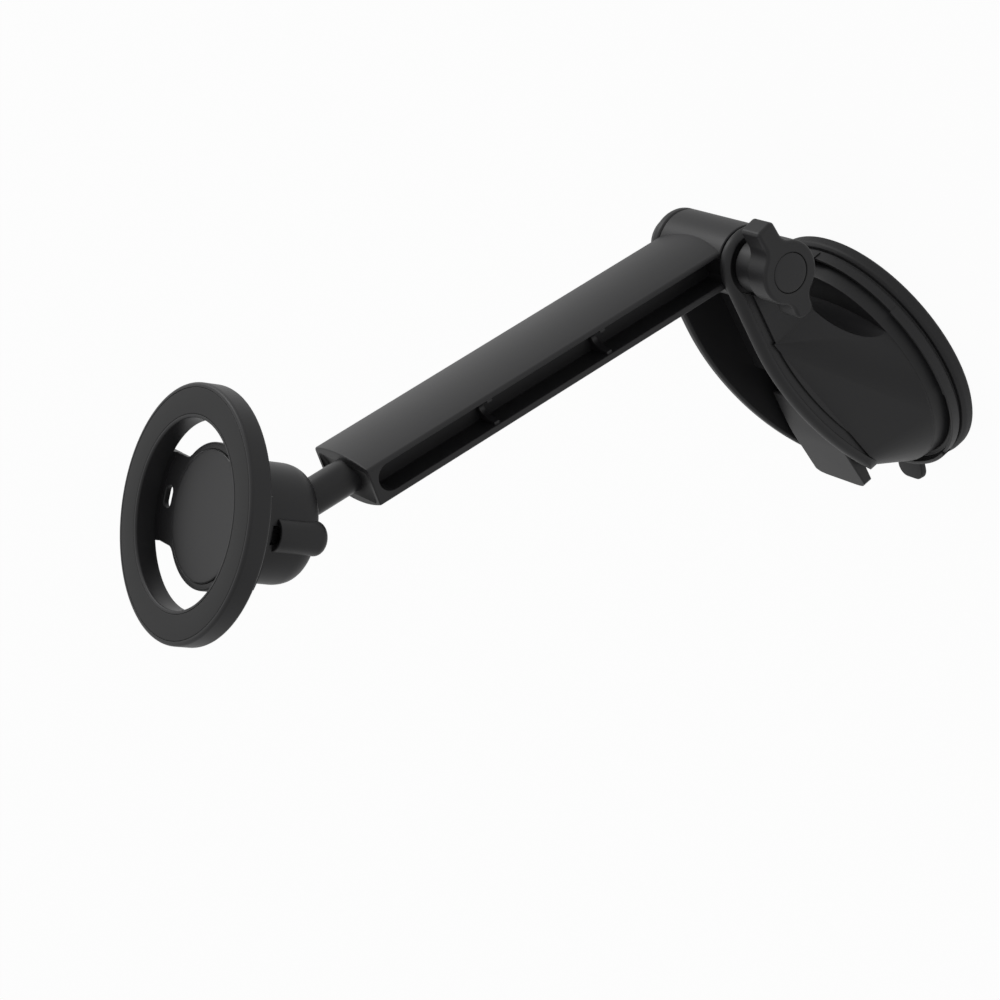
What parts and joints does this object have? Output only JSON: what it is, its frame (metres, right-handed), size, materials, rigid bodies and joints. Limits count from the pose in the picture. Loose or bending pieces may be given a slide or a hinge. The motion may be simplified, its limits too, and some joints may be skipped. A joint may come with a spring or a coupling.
{
  "type": "suction cup phone holder",
  "caption": "Lever-locked suction cup with an elbow arm, a clamp knob, a ball joint with a collar nut and a round magnetic ring head.",
  "frame": {"origin": "on the cup's axis, in the plane of the glass that the cup sits on", "axes": "+Z away from the glass along the cup's axis, +X from the cup towards the elbow, -Y towards the clamp knob"},
  "size_m": [0.1499, 0.068, 0.1991],
  "materials": {
    "moulded_black": "fine matte moulded grain",
    "satin_black": "satin moulded plastic",
    "soft_rubber": "soft matte rubber",
    "pad_rubber": "matte silicone",
    "inner_nylon": "plain nylon",
    "screw_steel": "zinc plated",
    "magnet_plating": "nickel plated"
  },
  "bodies": {
    "base": {"suction_cup": "soft_rubber", "cup_membrane": "soft_rubber", "base_plate": "moulded_black", "housing": "moulded_black", "housing_screws": "screw_steel", "release_spring": "screw_steel", "friction_washers": "inner_nylon", "bolt_nut": "screw_steel"},
    "stud": {"cup_stud": "inner_nylon", "lever_pin": "screw_steel"},
    "lever": {"cam_lever": "moulded_black"},
    "arm": {"arm": "moulded_black", "ball_stud": "satin_black", "stud_pin": "screw_steel"},
    "knob": {"clamp_bolt": "screw_steel", "clamp_knob": "moulded_black", "knob_cap": "satin_black"},
    "seat": {"ball_seat": "inner_nylon"},
    "band": {"ball_band": "inner_nylon"},
    "head": {"ball_socket": "moulded_black", "head_frame": "moulded_black", "ring_cover": "moulded_black", "magnet_ring": "magnet_plating", "shunt_ring": "screw_steel", "face_pad": "pad_rubber", "hub_cap": "satin_black", "hub_screws": "screw_steel"},
    "collar": {"collar_nut": "moulded_black"}
  },
  "joints": [
    {"name": "stud_slide", "type": "slide", "parent": "base", "child": "stud", "axis": [0, 0, 1], "range_m": [-0.0022, 0], "deforming": ["cup_membrane", "release_spring"]},
    {"name": "lever_turn", "type": "hinge", "parent": "stud", "child": "lever", "pos_m": [0, 0, 0.0202], "axis": [0, 1, 0], "range_deg": [0, 90]},
    {"name": "elbow", "type": "hinge", "parent": "base", "child": "arm", "pos_m": [0.0511, 0, 0.0306], "axis": [0, 1, 0], "range_deg": [-82, 76]},
    {"name": "knob_turn", "type": "hinge", "parent": "base", "child": "knob", "pos_m": [0.0511, 0, 0.0306], "axis": [0, -1, 0], "range_deg": [0, 270]},
    {"name": "ball_tilt", "type": "hinge", "parent": "arm", "child": "seat", "pos_m": [0.07214, 0, 0.16284], "axis": [0, 1, 0], "range_deg": [-73, 0.5]},
    {"name": "ball_swing", "type": "hinge", "parent": "seat", "child": "band", "pos_m": [0.07214, 0, 0.16284], "axis": [0.7071, 0, -0.7071], "range_deg": [-12, 12]},
    {"name": "ring_roll", "type": "hinge", "parent": "band", "child": "head", "pos_m": [0.07214, 0, 0.16284], "axis": [0.7071, 0, 0.7071], "continuous": true},
    {"name": "collar_turn", "type": "hinge", "parent": "head", "child": "collar", "pos_m": [0.07214, 0, 0.16284], "axis": [0.7071, 0, 0.7071], "range_deg": [0, 270]}
  ],
  "couplings": [
    {"joint": "stud_slide", "follows": "lever_turn", "m_per_rad": -0.0014}
  ]
}
